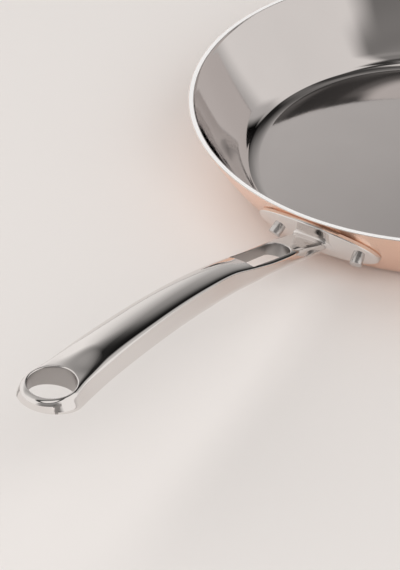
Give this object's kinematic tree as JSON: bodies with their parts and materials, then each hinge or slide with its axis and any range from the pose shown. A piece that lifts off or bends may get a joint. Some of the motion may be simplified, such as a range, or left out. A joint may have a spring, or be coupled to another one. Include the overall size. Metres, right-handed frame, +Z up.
{
  "type": "frying pan",
  "caption": "Shallow round frying pan with flared sides, copper outside and steel lining, and a long slotted steel handle riveted to the wall, with a hang hole at its end.",
  "frame": {"origin": "centre of the flat underside of the pan, on the surface it stands on", "axes": "+Z up out of the pan's mouth, +X along the handle away from the pan, +Y to the left of someone who looks along the handle from the pan"},
  "size_m": [0.5245, 0.28, 0.0902],
  "materials": {
    "copper": "polished copper",
    "aluminium": "cut and polished edge",
    "lining_steel": "satin steel with fine circular polishing lines",
    "handle_steel": "mirror polished cast stainless steel",
    "rivet_steel": "polished stainless steel"
  },
  "bodies": {
    "root": {"copper_shell": "copper", "aluminium_core": "aluminium", "steel_lining": "lining_steel", "handle": "handle_steel", "rivet_left": "rivet_steel", "rivet_right": "rivet_steel"}
  },
  "joints": []
}
